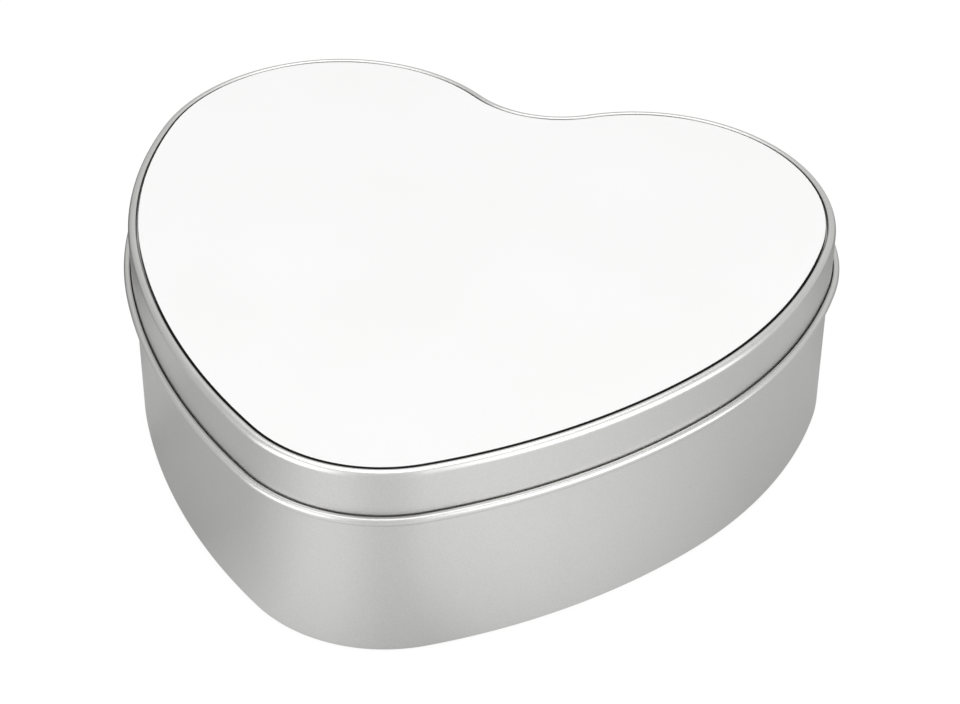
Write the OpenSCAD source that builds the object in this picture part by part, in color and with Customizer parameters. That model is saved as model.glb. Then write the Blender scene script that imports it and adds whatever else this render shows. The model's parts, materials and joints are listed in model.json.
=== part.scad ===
// Wind up music box: a heart-shaped slip-lid tin with an 18-note movement.
// Millimetres. +Z is up, the heart's tip points along -Y, its cleft along +Y.
// The origin is the centre of the tin's footprint, on the surface it stands on.

/* [Heart outline, on the outside of the lid's skirt] */
// Width across the two lobes
skirt_w = 129.4; // [122:0.2:140]
// Length from the tip to the top of the lobes
skirt_l = 120.4; // [114:0.2:128]
// Radius of the rounded tip
tip_r = 28.6; // [24:0.2:32]
// Radius of the long, nearly straight sides
side_r = 121.5; // [110:0.5:150]
// Radius where the sides turn into the lobes
flank_r = 81.2; // [74:0.2:86]
// Radius of the two lobes
lobe_r = 34.9; // [33:0.1:37]
// Radius of the cleft between the lobes
cleft_r = 19.1; // [15:0.1:24]
// Largest gap between a flat facet and the true arc
facet_sag = 0.06; // [0.04:0.01:0.12]

/* [Tin] */
// Overall height with the lid on
closed_h = 39.9; // [38.4:0.1:46]
// Tinplate thickness
sheet_t = 0.25; // [0.2:0.01:0.32]
// Gap between the tin's wall and the lid's skirt
lid_gap = 0.1; // [0.06:0.01:0.2]
// Depth of the lid, from its ridge to the bottom of its curl
lid_depth = 10.4; // [8:0.1:14]
// Outer radius of the open curl along the skirt's edge
curl_r = 0.8; // [0.6:0.01:0.9]
// Where the curl's cut edge stops, in degrees above the horizontal
curl_end = 110; // [80:1:120]
// Outer radius of the lid's shoulder
shoulder_r = 1.15; // [1.1:0.05:1.2]
// Width of the raised ridge around the lid
ridge_w = 1.55; // [1.55:0.05:1.7]
// Depth of the lid's recess below the ridge
recess_depth = 1.3; // [1.25:0.05:1.5]
// Outer radius of the tin's bottom corner
bottom_r = 1.2; // [0.8:0.1:2]
// Radius of the hem rolled inwards along the tin's rim
hem_r = 0.38; // [0.34:0.01:0.42]
// Gap between the hem and the inside of the lid's ridge
hem_gap = 0.05; // [0.03:0.01:0.08]

/* [Lid panel] */
// Thickness of the white panel
panel_t = 1.1; // [0.8:0.01:1.15]
// Gap between the panel's edge and the ridge
panel_gap = 0.3; // [0.2:0.01:0.6]
// Bevel along the panel's top edge
panel_bevel = 0.12; // [0.05:0.01:0.2]
// Thickness of the adhesive sheet under the panel
glue_t = 0.15; // [0.1:0.01:0.2]
// How far the adhesive stops short of the panel's edge
glue_inset = 1; // [0.5:0.1:3]

/* [Key well in the floor] */
// Radius of the well
well_r = 29; // [28:0.1:31]
// Height of the well's roof above the table
well_h = 10; // [9.6:0.1:10.6]
// Inner bend radius of the pressed sheet
well_bend = 1.5; // [1:0.1:1.8]
// Place of the well's centre towards the cleft
well_y = 6; // [0:0.5:10]

/* [Bedplate] */
// Length of the bedplate
plate_l = 54; // [53.6:0.1:56]
// Width of the bedplate
plate_w = 42; // [41.6:0.1:45]
// Thickness of the bedplate
plate_t = 2.6; // [2.4:0.1:2.8]
// Radius of the bedplate's corners
plate_corner = 3; // [2:0.1:4]
// Height of the music cylinder's axis above the bedplate's underside
axis_z = 10.6; // [10.5:0.1:11]
// Distance of the cylinder's and arbor's line from the plate's middle
train_y = 3; // [2.5:0.1:3.5]
// Distance of the winding arbor from the plate's middle
arbor_x = 14; // [13.9:0.05:14.2]
// Radius of the posts that carry the spring housing
post_r = 2; // [1.8:0.1:2.1]
// Distance of those posts from the arbor
post_reach = 13.4; // [13.3:0.1:13.8]

/* [Spring, arbor and key] */
// Radius of the arbor in its bearings
arbor_r = 2; // [1.7:0.05:2.1]
// Radius of the arbor's core inside the mainspring
core_r = 3; // [2.6:0.1:3.3]
// Radius of the arbor's collar inside the clutch spring
collar_r = 2.6; // [2.3:0.05:3]
// Radius of the arbor's upper pivot
pivot_r = 1.25; // [1:0.05:1.5]
// Radius of the threaded end that holds the key
key_thread_r = 1.5; // [1.2:0.05:1.6]
// Outer radius of the spring housing
housing_r = 9.5; // [9.2:0.05:9.6]
// Wall of the spring housing
housing_t = 0.6; // [0.5:0.05:0.8]
// Width of the mainspring's strip
spring_w = 7.2; // [6:0.1:8]
// Thickness of the mainspring's strip
spring_t = 0.24; // [0.18:0.01:0.3]
// Turns of the mainspring
spring_turns = 7; // [5:1:9]
// Thickness of the cover under the housing
cover_t = 0.5; // [0.4:0.05:0.6]
// Wire size of the square clutch spring
clutch_wire = 0.45; // [0.35:0.01:0.5]
// Turns of the clutch spring
clutch_turns = 5; // [4:1:5]
// Reach of the key's wings from its axis
key_reach = 12; // [10:0.1:13]
// Height of the key's wings
key_h = 7.2; // [6:0.1:7.6]
// Thickness of the key's wings
key_t = 1.8; // [1.4:0.1:2.4]
// Radius of the key's hub
key_hub_r = 3.2; // [2.8:0.1:3.6]
// Radius of the hole in each wing
key_hole_r = 1.4; // [1:0.1:1.8]

/* [Gears] */
// Pressure angle of all gears
pressure_angle = 25; // [24:0.5:27]
// Tooth module of the crown gear and the cylinder's pinion
crown_module = 0.5; // [0.49:0.002:0.51]
// Teeth of the crown gear
crown_teeth = 42; // [42]
// Teeth of the cylinder's pinion
pinion_teeth = 16; // [16]
// Radial width of the crown gear's teeth
crown_face = 1.2; // [1:0.05:1.3]
// Play between crown gear and pinion, along the pitch line
crown_play = 0.3; // [0.24:0.01:0.36]
// Thickness of the crown gear's web
web_t = 1; // [0.8:0.05:1.1]
// Tooth module of the great gear and the governor's pinion
fine_module = 0.3; // [0.29:0.002:0.31]
// Teeth of the great gear
great_teeth = 44; // [44]
// Teeth of the governor's pinion
governor_teeth = 12; // [12]
// Play between great gear and governor's pinion
fine_play = 0.1; // [0.08:0.01:0.14]
// Tooth module of the worm and its wheel
worm_module = 0.35; // [0.34:0.002:0.36]
// Teeth of the worm wheel
wheel_teeth = 22; // [22]
// Pitch radius of the worm
worm_r = 1.4; // [1.35:0.01:1.45]
// Play between worm and wheel, along the pitch line
worm_play = 0.25; // [0.2:0.01:0.3]
// Direction from the cylinder's axis to the governor's, below the horizontal
governor_dip = 25; // [22:0.5:28]

/* [Music cylinder and comb] */
// Radius of the pinned drum
drum_r = 6; // [5.8:0.05:6.1]
// Length of the drum
drum_l = 17.8; // [17.6:0.05:18]
// Wall of the drum
drum_t = 0.8; // [0.6:0.05:1]
// Radius of a pin
pin_r = 0.18; // [0.14:0.01:0.22]
// Height of a pin above the drum
pin_h = 0.6; // [0.5:0.02:0.7]
// Pins around each tooth's track
pins_per_tooth = 5; // [3:1:6]
// Radius of the cylinder's shaft
shaft_r = 0.8; // [0.7:0.02:0.9]
// Number of teeth on the comb
comb_teeth = 18; // [16:1:18]
// Distance from tooth to tooth
comb_pitch = 0.98; // [0.92:0.01:0.99]
// Width of a comb tooth
tooth_w = 0.7; // [0.5:0.01:0.8]
// Thickness of the comb's base
comb_t = 1.8; // [1.6:0.05:2]
// Thickness of a tooth at its tip
tip_t = 0.6; // [0.5:0.02:0.7]
// Gap between the pins' circle and the tips
tip_gap = 0.05; // [0.04:0.01:0.1]

/* [Governor and stop lever] */
// Radius of the air brake's blades
fly_r = 4; // [3.6:0.05:4.1]
// Height of the air brake's blades
fly_h = 4.2; // [3.6:0.1:4.4]
// Thickness of the air brake's blades
fly_t = 0.3; // [0.2:0.02:0.4]
// Radius of the brake drum on the worm's shaft
brake_r = 1.8; // [1.6:0.05:1.9]
// Thickness of the governor frame's cheeks
cheek_t = 1; // [0.8:0.05:1.1]
// Thickness of the stop lever
lever_t = 1; // [0.8:0.05:1.1]
// Gap between the stop lever's shoe and the brake drum
shoe_gap = 0.04; // [0.03:0.01:0.08]

/* [Fits and screws] */
// Radial gap of a running fit
run_gap = 0.05; // [0.03:0.005:0.08]
// Radial gap of a fine pivot's running fit
fine_gap = 0.03; // [0.02:0.005:0.05]
// End gap between pieces that turn past each other
end_gap = 0.3; // [0.2:0.02:0.35]
// Shank radius of the movement's screws
screw_r = 1; // [0.8:0.05:1.1]
// Shank radius of the screws through the tin's floor
mount_r = 1.3; // [1:0.05:1.5]

/* [Hidden] */
$fn = 48;

// How far a cutting shape runs past the face it opens
over = 1;
// How far joined shapes run into each other
sink = 0.5;
// Depth of a gear tooth below the pitch line, in modules
dedendum = 1.25;

// ---- Heart outline: one chain of arcs, each tangent to the next, then mirrored ----

// The crossing of two circles that lies to the left of the line from a to b
function circle_crossing(a, ra, b, rb) =
    let (line = b - a, d = norm(line), u = line / d, along = (ra * ra - rb * rb + d * d) / (2 * d))
    a + along * u + sqrt(ra * ra - along * along) * [-u.y, u.x];
function heading(from, to) = atan2(to.y - from.y, to.x - from.x);

lobe_y = skirt_l / 2 - lobe_r;
tip_c = [0, tip_r - skirt_l / 2];
flank_c = [skirt_w / 2 - flank_r, lobe_y];
lobe_c = [skirt_w / 2 - lobe_r, lobe_y];
cleft_c = [0, lobe_y + sqrt(pow(cleft_r + lobe_r, 2) - pow(lobe_c.x, 2))];
side_c = circle_crossing(tip_c, side_r - tip_r, flank_c, side_r - flank_r);
tip_end = heading(side_c, tip_c);
side_end = heading(side_c, flank_c);
lobe_end = heading(lobe_c, cleft_c);

// Stations along one arc, without its last one: each is [point, outward normal]
function arc_stations(c, r, from, to, out = 1) =
    let (steps = ceil(abs(to - from) / (2 * acos(1 - facet_sag / r))))
    [for (i = [0 : steps - 1])
        let (a = from + (to - from) * i / steps, n = [cos(a), sin(a)]) [c + r * n, out * n]];
right_side = concat(
    arc_stations(tip_c, tip_r, -90, tip_end),
    arc_stations(side_c, side_r, tip_end, side_end),
    arc_stations(flank_c, flank_r, side_end, 0),
    arc_stations(lobe_c, lobe_r, 0, lobe_end),
    arc_stations(cleft_c, cleft_r, lobe_end - 180, -90, -1)
);
cleft_station = [[cleft_c - [0, cleft_r], [0, 1]]];
left_side = [for (i = [len(right_side) - 1 : -1 : 1])
    let (s = right_side[i]) [[-s[0].x, s[0].y], [-s[1].x, s[1].y]]];
stations = concat(right_side, cleft_station, left_side);
function heart_outline(offset) = [for (s = stations) s[0] + offset * s[1]];

// Points of an arc in a section, where x is the offset from the skirt and y the height
function section_arc(c, r, from, to, steps) =
    [for (i = [0 : steps]) c + r * [cos(from + (to - from) * i / steps), sin(from + (to - from) * i / steps)]];

// Carries a section round the heart; it starts at an upper flat face and ends at a lower one
module heart_sweep(section) {
    n = len(stations);
    last = len(section) - 1;
    points = [for (p = section) for (s = stations) [s[0].x + p.x * s[1].x, s[0].y + p.x * s[1].y, p.y]];
    walls = [for (j = [0 : last - 1]) for (i = [0 : n - 1])
        [j * n + i, j * n + (i + 1) % n, (j + 1) * n + (i + 1) % n, (j + 1) * n + i]];
    top_face = [[for (i = [n - 1 : -1 : 0]) i]];
    bottom_face = [[for (i = [0 : n - 1]) last * n + i]];
    polyhedron(points, concat(top_face, walls, bottom_face));
}

// ---- Heights and offsets of the tin ----

recess_z = closed_h - recess_depth;
shoulder_c = [-shoulder_r, closed_h - shoulder_r];
ridge_in_r = ridge_w - shoulder_r;
ridge_in_c = [-shoulder_r, closed_h - ridge_in_r];
curl_c = [curl_r - sheet_t, closed_h - lid_depth + curl_r];
wall_out = -sheet_t - lid_gap;
hem_x = wall_out - hem_r;
hem_drop = sqrt(pow(shoulder_r - sheet_t - hem_r - hem_gap, 2) - pow(hem_x + shoulder_r, 2));
hem_c = [hem_x, shoulder_c.y + hem_drop];
hem_foot = asin((hem_r - sheet_t) / hem_r) - 90;
corner_c = [wall_out - bottom_r, bottom_r];
well_flare = well_r + sheet_t + well_bend;
well_facets = 96;

// ---- Places on the movement, from the middle of the bedplate's underside ----

arbor_p = [-arbor_x, train_y];
post_turns = [45, 135, 255];
screw_gap = 0.05;
screw_head_h = 1.1;
screw_head_r = 1.9;
screw_grip = 3.5;
screw_hole_l = 4.2;
screw_end_gap = 0.1;
hole_floor = 0.3;
mount_places = [[-18, -16], [18, -16], [3, 17]];
mount_head_r = 2.1;
floor_hole_gap = 1;

pinion_r = crown_module * pinion_teeth / 2;
crown_r = crown_module * crown_teeth / 2;
crown_pitch_z = axis_z - pinion_r;
crown_tip_z = crown_pitch_z + crown_module;
crown_root_z = crown_pitch_z - dedendum * crown_module;
crown_outer = crown_r + crown_face / 2;
web_z = plate_t + 0.5;
web_inset = 0.1;
cover_z = crown_tip_z + end_gap + 0.1;
collar_gap = 0.15;
housing_z = cover_z + cover_t;
roof_t = 0.8;
housing_in_h = spring_w + 2 * end_gap;
housing_top = housing_z + housing_in_h + roof_t;
ear_t = 1.2;
clutch_in = collar_r + 0.05;
clutch_tail_l = 4.6;
peg_r = 0.5;
clutch_peg = [clutch_in + clutch_wire + peg_r, peg_r - clutch_tail_l];
arbor_shoulder_z = -0.6;
key_top_z = -1.2;
key_bottom_z = key_top_z - key_h - 0.5;

pinion_x = crown_r - arbor_x;
lug_t = 1.3;
left_lug_x = crown_outer - arbor_x + 0.7;
lug_half = 2.4;
bush_r = 1.5;
bush_over = 0.1;
drum_x = left_lug_x + lug_t + 1;
great_x = drum_x + drum_l + 0.3;
great_w = 1.4;
right_lug_x = great_x + great_w + 0.9;

great_r = fine_module * great_teeth / 2;
governor_pitch_r = fine_module * governor_teeth / 2;
governor_p = [train_y + (great_r + governor_pitch_r) * cos(governor_dip),
              axis_z - (great_r + governor_pitch_r) * sin(governor_dip)];
governor_shaft_r = 0.5;
wheel_r = worm_module * wheel_teeth / 2;
wheel_w = 1.4;
left_cheek_x = great_x + great_w + 0.8;
wheel_x = left_cheek_x + cheek_t + 0.4;
right_cheek_x = wheel_x + wheel_w + 0.8;
worm_p = [wheel_x + wheel_w / 2, governor_p.x + wheel_r + worm_r];
worm_pivot_r = 0.4;
worm_addendum = 0.85;
worm_tip_r = worm_r + worm_addendum * worm_module;
spindle_r = 0.55;
frame_base_t = 1.2;
cheek_top = 10;
brake_z = cheek_top + end_gap;
fly_z = brake_z + lever_t + 0.9;
arm_z = fly_z + fly_h + 1.1;
arm_t = 1.1;
bearing_r = 1.2;

comb_z = axis_z + 0.3;
comb_top = comb_z + comb_t;
comb_tip_y = train_y - sqrt(pow(drum_r + pin_h + tip_gap, 2) - pow(comb_top - tip_t - axis_z, 2));
comb_mid_x = drum_x + drum_l / 2;
comb_l = comb_pitch * comb_teeth + 0.4;
comb_back_y = -plate_w / 2;
comb_shelf_l = 6.4;
comb_root_bass = comb_back_y + 7;
comb_root_treble = comb_root_bass + 2.4;
comb_screw_y = comb_back_y + 3.5;
comb_screw_places = [for (i = [-1 : 1]) [comb_mid_x + i * comb_l * 0.34, comb_screw_y]];
function tooth_x(i) = comb_mid_x + (i - (comb_teeth - 1) / 2) * comb_pitch;
function tooth_root_y(i) = comb_root_bass + (comb_root_treble - comb_root_bass) * (i + 0.5) / comb_teeth;

lever_p = [12.5, worm_p.y + brake_r + shoe_gap + 0.8];
lever_post_r = 1.6;
lever_post_z = brake_z - end_gap / 2;
governor_screw_places = [[16.6, 17], [worm_p.x, plate_w / 2 - 1.7]];

STEEL = "#b9bdc1";
TIN = "#b4b5b3";
BRASS = "#c9a44c";
ZINC = "#9da1a4";

// ---- Shared shapes ----

module on_movement() {
    translate([0, well_y, well_h]) children();
}

// Stands a flat drawing upright across the X axis: its x becomes Y, its y becomes Z
module across_x(x, thick) {
    translate([x, 0, 0]) rotate([90, 0, 90]) linear_extrude(thick) children();
}

module rod_along_x(r, from, to, p) {
    translate([from, p.x, p.y]) rotate([0, 90, 0]) cylinder(r = r, h = to - from);
}

module rod_up(r, from, to, p = [0, 0]) {
    translate([p.x, p.y, from]) cylinder(r = r, h = to - from);
}

module rounded_slab(l, w, r, t) {
    linear_extrude(t) {
        square([l - 2 * r, w], center = true);
        square([l, w - 2 * r], center = true);
        for (sx = [-1, 1], sy = [-1, 1]) translate([sx * (l / 2 - r), sy * (w / 2 - r)]) circle(r);
    }
}

// A slotted screw: its head stands on z = 0 and its shank hangs below
module slotted_screw(shank_r, shank_l, head_r) {
    slot_w = 0.25 * head_r;
    difference() {
        rod_up(head_r, 0, screw_head_h);
        translate([-head_r, -slot_w / 2, screw_head_h / 2]) cube([2 * head_r, slot_w, screw_head_h]);
    }
    rod_up(shank_r, -shank_l, 0);
}

function involute(a) = tan(a) * 180 / PI - a;

// Half of a tooth's angle at radius r, for a gear with the given play
function tooth_half_angle(m, teeth, play, r) =
    let (pitch_r = m * teeth / 2, base_r = pitch_r * cos(pressure_angle))
    (PI * m / 2 - play / 2) / (2 * pitch_r) * 180 / PI
        + involute(pressure_angle) - involute(acos(min(1, base_r / r)));

// Outline of a spur gear with a tooth centred on the angle phase
module gear_outline(m, teeth, play, phase, addendum = 1) {
    pitch_r = m * teeth / 2;
    root_r = pitch_r - dedendum * m;
    tip_circle = pitch_r + addendum * m;
    base_r = max(root_r, pitch_r * cos(pressure_angle));
    radii = [root_r, base_r, (base_r + pitch_r) / 2, pitch_r, (pitch_r + tip_circle) / 2, tip_circle];
    polygon([for (i = [0 : teeth - 1]) for (side = [-1, 1]) for (k = [0 : 5])
        let (r = radii[side < 0 ? k : 5 - k],
             a = phase + 360 * i / teeth + side * tooth_half_angle(m, teeth, play, max(r, base_r)))
        r * [cos(a), sin(a)]]);
}

// A bar of constant section wound into a right-hand helix: section points are [radius, height]
module helix(section, lead, turns, start) {
    steps_per_turn = 20;
    steps = turns * steps_per_turn;
    k = len(section);
    points = [for (i = [0 : steps]) for (p = section)
        let (a = start + 360 * i / steps_per_turn)
        [p.x * cos(a), p.x * sin(a), p.y + lead * i / steps_per_turn]];
    walls = [for (i = [0 : steps - 1]) for (j = [0 : k - 1])
        [i * k + j, i * k + (j + 1) % k, (i + 1) * k + (j + 1) % k, (i + 1) * k + j]];
    first = [[for (j = [k - 1 : -1 : 0]) j]];
    last = [[for (j = [0 : k - 1]) steps * k + j]];
    polyhedron(points, concat(first, walls, last));
}

// ---- Tin and lid ----

// The pressed well: a revolved sheet that bends up from the floor and closes with a flat roof
module key_well() {
    flare_c = [well_flare, sheet_t + well_bend];
    roof_c = [well_r - well_bend, well_h - sheet_t - well_bend];
    steps = 5;
    rotate_extrude($fn = well_facets) polygon(concat(
        [[0, well_h]],
        section_arc(roof_c, well_bend + sheet_t, 90, 0, steps),
        section_arc(flare_c, well_bend, 180, 270, steps),
        section_arc(flare_c, well_bend + sheet_t, 270, 180, steps),
        section_arc(roof_c, well_bend, 0, 90, steps),
        [[0, well_h - sheet_t]]
    ));
}

module tin_body() {
    section = concat(
        section_arc(corner_c, bottom_r - sheet_t, -90, 0, 3),
        section_arc(hem_c, hem_r, hem_foot + 360, 0, 8),
        section_arc(corner_c, bottom_r, 0, -90, 4)
    );
    color(TIN) difference() {
        union() {
            difference() {
                heart_sweep(section);
                translate([0, well_y, -over]) cylinder(r = well_flare, h = 2 * over, $fn = well_facets);
            }
            translate([0, well_y, 0]) key_well();
        }
        on_movement() {
            rod_up(arbor_r + floor_hole_gap, -over, over, arbor_p);
            for (p = mount_places) rod_up(mount_r + screw_gap, -over, over, p);
        }
    }
}

module lid_shell() {
    curl_in = curl_r - sheet_t;
    section = concat(
        [[-ridge_w, recess_z]],
        section_arc(ridge_in_c, ridge_in_r, 180, 90, 3),
        section_arc(shoulder_c, shoulder_r, 72, 0, 4),
        section_arc(curl_c, curl_in, 180, 360 + curl_end, 6),
        section_arc(curl_c, curl_r, curl_end, -180, 7),
        section_arc(shoulder_c, shoulder_r - sheet_t, 0, 60, 2),
        section_arc(ridge_in_c, ridge_in_r - sheet_t, 90, 180, 2),
        [[sheet_t - ridge_w, recess_z - sheet_t]]
    );
    color(TIN) heart_sweep(section);
}

module lid_panel() {
    edge = -ridge_w - panel_gap;
    top = recess_z + glue_t + panel_t;
    color("white") heart_sweep([
        [edge - panel_bevel, top],
        [edge, top - panel_bevel],
        [edge, recess_z + glue_t]
    ]);
}

module panel_adhesive() {
    color("#e8e4d6") translate([0, 0, recess_z]) linear_extrude(glue_t)
        polygon(heart_outline(-ridge_w - panel_gap - glue_inset));
}

module mounting_screws() {
    color(STEEL) on_movement() for (p = mount_places)
        translate([p.x, p.y, -sheet_t]) mirror([0, 0, 1])
            slotted_screw(mount_r, sheet_t + plate_t - hole_floor - screw_end_gap, mount_head_r);
}

// ---- Bedplate ----

module bearing_lug(x) {
    across_x(x, lug_t) translate([train_y, 0]) {
        translate([-lug_half, plate_t - sink]) square([2 * lug_half, axis_z - plate_t + sink]);
        translate([0, axis_z]) circle(lug_half);
    }
}

module bedplate() {
    low = plate_t - sink;
    bore_r = screw_r + screw_gap;
    color(ZINC) on_movement() difference() {
        union() {
            rounded_slab(plate_l, plate_w, plate_corner, plate_t);
            for (a = post_turns) rod_up(post_r, low, cover_z, arbor_p + post_reach * [cos(a), sin(a)]);
            bearing_lug(left_lug_x);
            bearing_lug(right_lug_x);
            translate([comb_mid_x - comb_l / 2, comb_back_y, low]) cube([comb_l, comb_shelf_l, comb_z - low]);
            rod_up(lever_post_r, low, lever_post_z, lever_p);
        }
        rod_up(arbor_r + run_gap, -over, plate_t + over, arbor_p);
        for (a = post_turns)
            rod_up(bore_r, cover_z - screw_hole_l, cover_z + over, arbor_p + post_reach * [cos(a), sin(a)]);
        for (x = [left_lug_x, right_lug_x])
            rod_along_x(bush_r, x - over, x + lug_t + over, [train_y, axis_z]);
        for (p = mount_places) rod_up(mount_r + screw_gap, -over, plate_t - hole_floor, p);
        for (p = comb_screw_places) rod_up(bore_r, comb_z - screw_hole_l, comb_z + over, p);
        for (p = governor_screw_places) rod_up(bore_r, hole_floor, plate_t + over, p);
        rod_up(bore_r, lever_post_z - screw_hole_l, lever_post_z + over, lever_p);
    }
}

// ---- Winding train ----

module winding_arbor() {
    core_top = housing_top - roof_t - end_gap;
    thread_end_gap = 0.3;
    pivot_over = 0.5;
    color(STEEL) on_movement() translate(arbor_p) {
        rod_up(key_thread_r, key_bottom_z + thread_end_gap, arbor_shoulder_z);
        rod_up(arbor_r, arbor_shoulder_z, web_z + web_t);
        rod_up(collar_r, web_z + web_t, cover_z - collar_gap);
        rod_up(arbor_r, cover_z - collar_gap, housing_z + end_gap);
        rod_up(core_r, housing_z + end_gap, core_top);
        rod_up(pivot_r, core_top, housing_top + pivot_over);
    }
}

module winding_key() {
    wing_r = key_h / 2;
    wing_x = key_reach - wing_r;
    wing_drop = 0.7;
    waist = 0.72;
    middle = key_top_z - wing_drop - wing_r;
    color(STEEL) on_movement() translate(arbor_p) difference() {
        union() {
            rod_up(key_hub_r, key_bottom_z, key_top_z);
            translate([0, key_t / 2, middle]) rotate([90, 0, 0]) linear_extrude(key_t) {
                square([2 * wing_x, key_h * waist], center = true);
                for (s = [-1, 1]) translate([s * wing_x, 0]) circle(wing_r);
            }
        }
        rod_up(key_thread_r, key_bottom_z - over, key_top_z + over);
        for (s = [-1, 1]) translate([s * wing_x, key_t, middle]) rotate([90, 0, 0])
            cylinder(r = key_hole_r, h = 2 * key_t);
    }
}

// The toothed rim of a crown gear: a square section carried round in columns whose tops rise and fall
module crown_rim(r_in, r_out, foot_z, root_z, tip_z) {
    half = (PI * crown_module - crown_play) / 4;
    slope = tan(pressure_angle);
    foot = half + dedendum * crown_module * slope;
    head = half - crown_module * slope;
    tooth = [[-foot, root_z], [-head, tip_z], [head, tip_z], [foot, root_z]];
    columns = [for (i = [0 : crown_teeth - 1]) for (q = tooth) [360 * i / crown_teeth, q.x, q.y]];
    points = [for (c = columns) for (p = [[r_in, foot_z], [r_out, foot_z], [r_out, c[2]], [r_in, c[2]]])
        let (a = c[0] + asin(c[1] / p.x)) [p.x * cos(a), p.x * sin(a), p.y]];
    n = len(columns);
    polyhedron(points, [for (k = [0 : n - 1]) for (j = [0 : 3])
        let (m = (k + 1) % n) [4 * k + j, 4 * k + (j + 1) % 4, 4 * m + (j + 1) % 4, 4 * m + j]]);
}

module drive_gear() {
    peg_h = 2;
    color(BRASS) on_movement() translate(arbor_p) {
        crown_rim(crown_r - crown_face / 2, crown_outer, web_z, crown_root_z, crown_tip_z);
        difference() {
            rod_up(crown_r, web_z + web_inset, web_z + web_t);
            rod_up(arbor_r + run_gap, web_z - over, web_z + web_t + over);
        }
        rod_up(peg_r, web_z + web_t - sink, web_z + web_t + peg_h, clutch_peg);
    }
}

module clutch_spring() {
    w = clutch_wire;
    coil_gap = 0.05;
    lift = 0.1;
    color(STEEL) on_movement() translate([arbor_p.x, arbor_p.y, web_z + web_t + lift]) {
        helix([[clutch_in, 0], [clutch_in + w, 0], [clutch_in + w, w], [clutch_in, w]],
            w + coil_gap, clutch_turns, 0);
        translate([clutch_in, -clutch_tail_l, 0]) cube([w, clutch_tail_l, w]);
    }
}

module ears(r, z, t) {
    for (a = post_turns) rotate(a) {
        translate([post_reach, 0, z]) cylinder(r = r, h = t);
        translate([housing_r - sink, -r, z]) cube([post_reach - housing_r + sink, 2 * r, t]);
    }
}

module ear_holes(z, t) {
    for (a = post_turns) rotate(a) translate([post_reach, 0, z - over])
        cylinder(r = screw_r + screw_gap, h = t + 2 * over);
}

module spring_cover() {
    color(STEEL) on_movement() translate(arbor_p) difference() {
        union() {
            rod_up(housing_r, cover_z, housing_z);
            ears(post_r, cover_z, cover_t);
        }
        rod_up(arbor_r + run_gap, cover_z - over, housing_z + over);
        ear_holes(cover_z, cover_t);
    }
}

module mainspring() {
    r_in = core_r + 0.15;
    r_out = housing_r - housing_t - 0.3 - spring_t;
    steps_per_turn = 18;
    steps = steps_per_turn * spring_turns;
    function spiral(i, shift) =
        let (a = 360 * i / steps_per_turn, r = r_in + (r_out - r_in) * i / steps + shift)
        r * [cos(a), sin(a)];
    color("#6f7f93") on_movement() translate([arbor_p.x, arbor_p.y, housing_z + end_gap])
        linear_extrude(spring_w) polygon(concat(
            [for (i = [0 : steps]) spiral(i, 0)],
            [for (i = [steps : -1 : 0]) spiral(i, spring_t)]
        ));
}

module spring_housing() {
    color(STEEL) on_movement() translate(arbor_p) difference() {
        union() {
            rod_up(housing_r, housing_z, housing_top);
            ears(post_r, housing_z, ear_t);
        }
        rod_up(housing_r - housing_t, housing_z - over, housing_top - roof_t);
        rod_up(pivot_r + run_gap, housing_z, housing_top + over);
        ear_holes(housing_z, ear_t);
    }
}

module housing_screws() {
    slot_turn = 35;
    color(STEEL) on_movement() for (a = post_turns) translate(arbor_p)
        rotate(a) translate([post_reach, 0, housing_z + ear_t]) rotate(slot_turn + a)
            slotted_screw(screw_r, cover_t + ear_t + screw_grip, screw_head_r);
}

// ---- Music cylinder and comb ----

// Angle between the first pins of neighbouring tracks, and the extra turn of every second pin
track_turn = 137.508;
pin_turn = 23;

module cylinder_drum() {
    pin_foot = drum_t / 2;
    color(STEEL) on_movement() {
        difference() {
            rod_along_x(drum_r, drum_x, drum_x + drum_l, [train_y, axis_z]);
            rod_along_x(drum_r - drum_t, drum_x - over, drum_x + drum_l + over, [train_y, axis_z]);
        }
        for (i = [0 : comb_teeth - 1], k = [0 : pins_per_tooth - 1])
            translate([tooth_x(i), train_y, axis_z])
                rotate([track_turn * i + 360 / pins_per_tooth * k + pin_turn * (k % 2), 0, 0])
                    translate([0, 0, drum_r - pin_foot]) cylinder(r = pin_r, h = pin_h + pin_foot, $fn = 16);
    }
}

module drum_end_caps() {
    cap_t = 1;
    color(BRASS) on_movement() for (x = [drum_x, drum_x + drum_l - cap_t]) difference() {
        rod_along_x(drum_r - drum_t, x, x + cap_t, [train_y, axis_z]);
        rod_along_x(shaft_r, x - over, x + cap_t + over, [train_y, axis_z]);
    }
}

module cylinder_shaft() {
    left_over = 0.1;
    right_over = 0.4;
    color(STEEL) on_movement() rod_along_x(shaft_r,
        pinion_x - crown_face / 2 - left_over, right_lug_x + lug_t + right_over, [train_y, axis_z]);
}

module cylinder_pinion() {
    hub_r = 1.7;
    hub_gap = 0.1;
    hub_end = left_lug_x - bush_over - hub_gap;
    color(BRASS) on_movement() difference() {
        union() {
            across_x(pinion_x - crown_face / 2, crown_face) translate([train_y, axis_z])
                gear_outline(crown_module, pinion_teeth, crown_play, 270 + 180 / pinion_teeth);
            rod_along_x(hub_r, pinion_x, hub_end, [train_y, axis_z]);
        }
        rod_along_x(shaft_r, pinion_x - crown_face, hub_end + over, [train_y, axis_z]);
    }
}

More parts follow.
